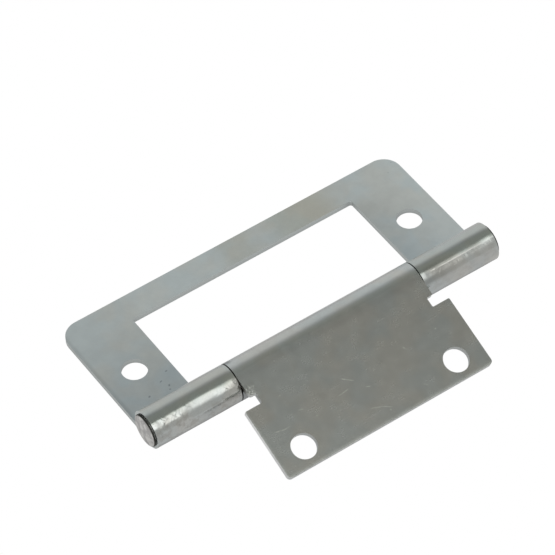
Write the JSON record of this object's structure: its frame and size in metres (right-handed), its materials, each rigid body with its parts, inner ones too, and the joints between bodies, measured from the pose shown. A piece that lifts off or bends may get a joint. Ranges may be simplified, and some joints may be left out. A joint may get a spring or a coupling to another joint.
{
  "type": "flush door hinge",
  "caption": "Light pressed-steel flush hinge: a frame leaf with a window, an inner leaf that folds into that window, and a fixed pin through rolled knuckles.",
  "frame": {"origin": "on the frame leaf's mounting face, halfway along the hinge, in the middle of the leaf's far rail", "axes": "+X along the pin, +Y from the pin towards the frame leaf's far edge, +Z out of the leaf on the side the barrel stands"},
  "size_m": [0.0616, 0.0419, 0.0073],
  "materials": {
    "frame_leaf": "satin zinc plate",
    "inner_leaf": "satin zinc plate, a little darker and lightly scratched",
    "hinge_pin": "satin zinc plate"
  },
  "bodies": {
    "frame_side": {"frame_leaf": "frame_leaf", "hinge_pin": "hinge_pin"},
    "inner_side": {"inner_leaf": "inner_leaf"}
  },
  "joints": [
    {"name": "leaf_swing", "type": "hinge", "parent": "frame_side", "child": "inner_side", "pos_m": [0, -0.0225, 0.00305], "axis": [-1, 0, 0], "range_deg": [-68.7, 201.3]}
  ]
}
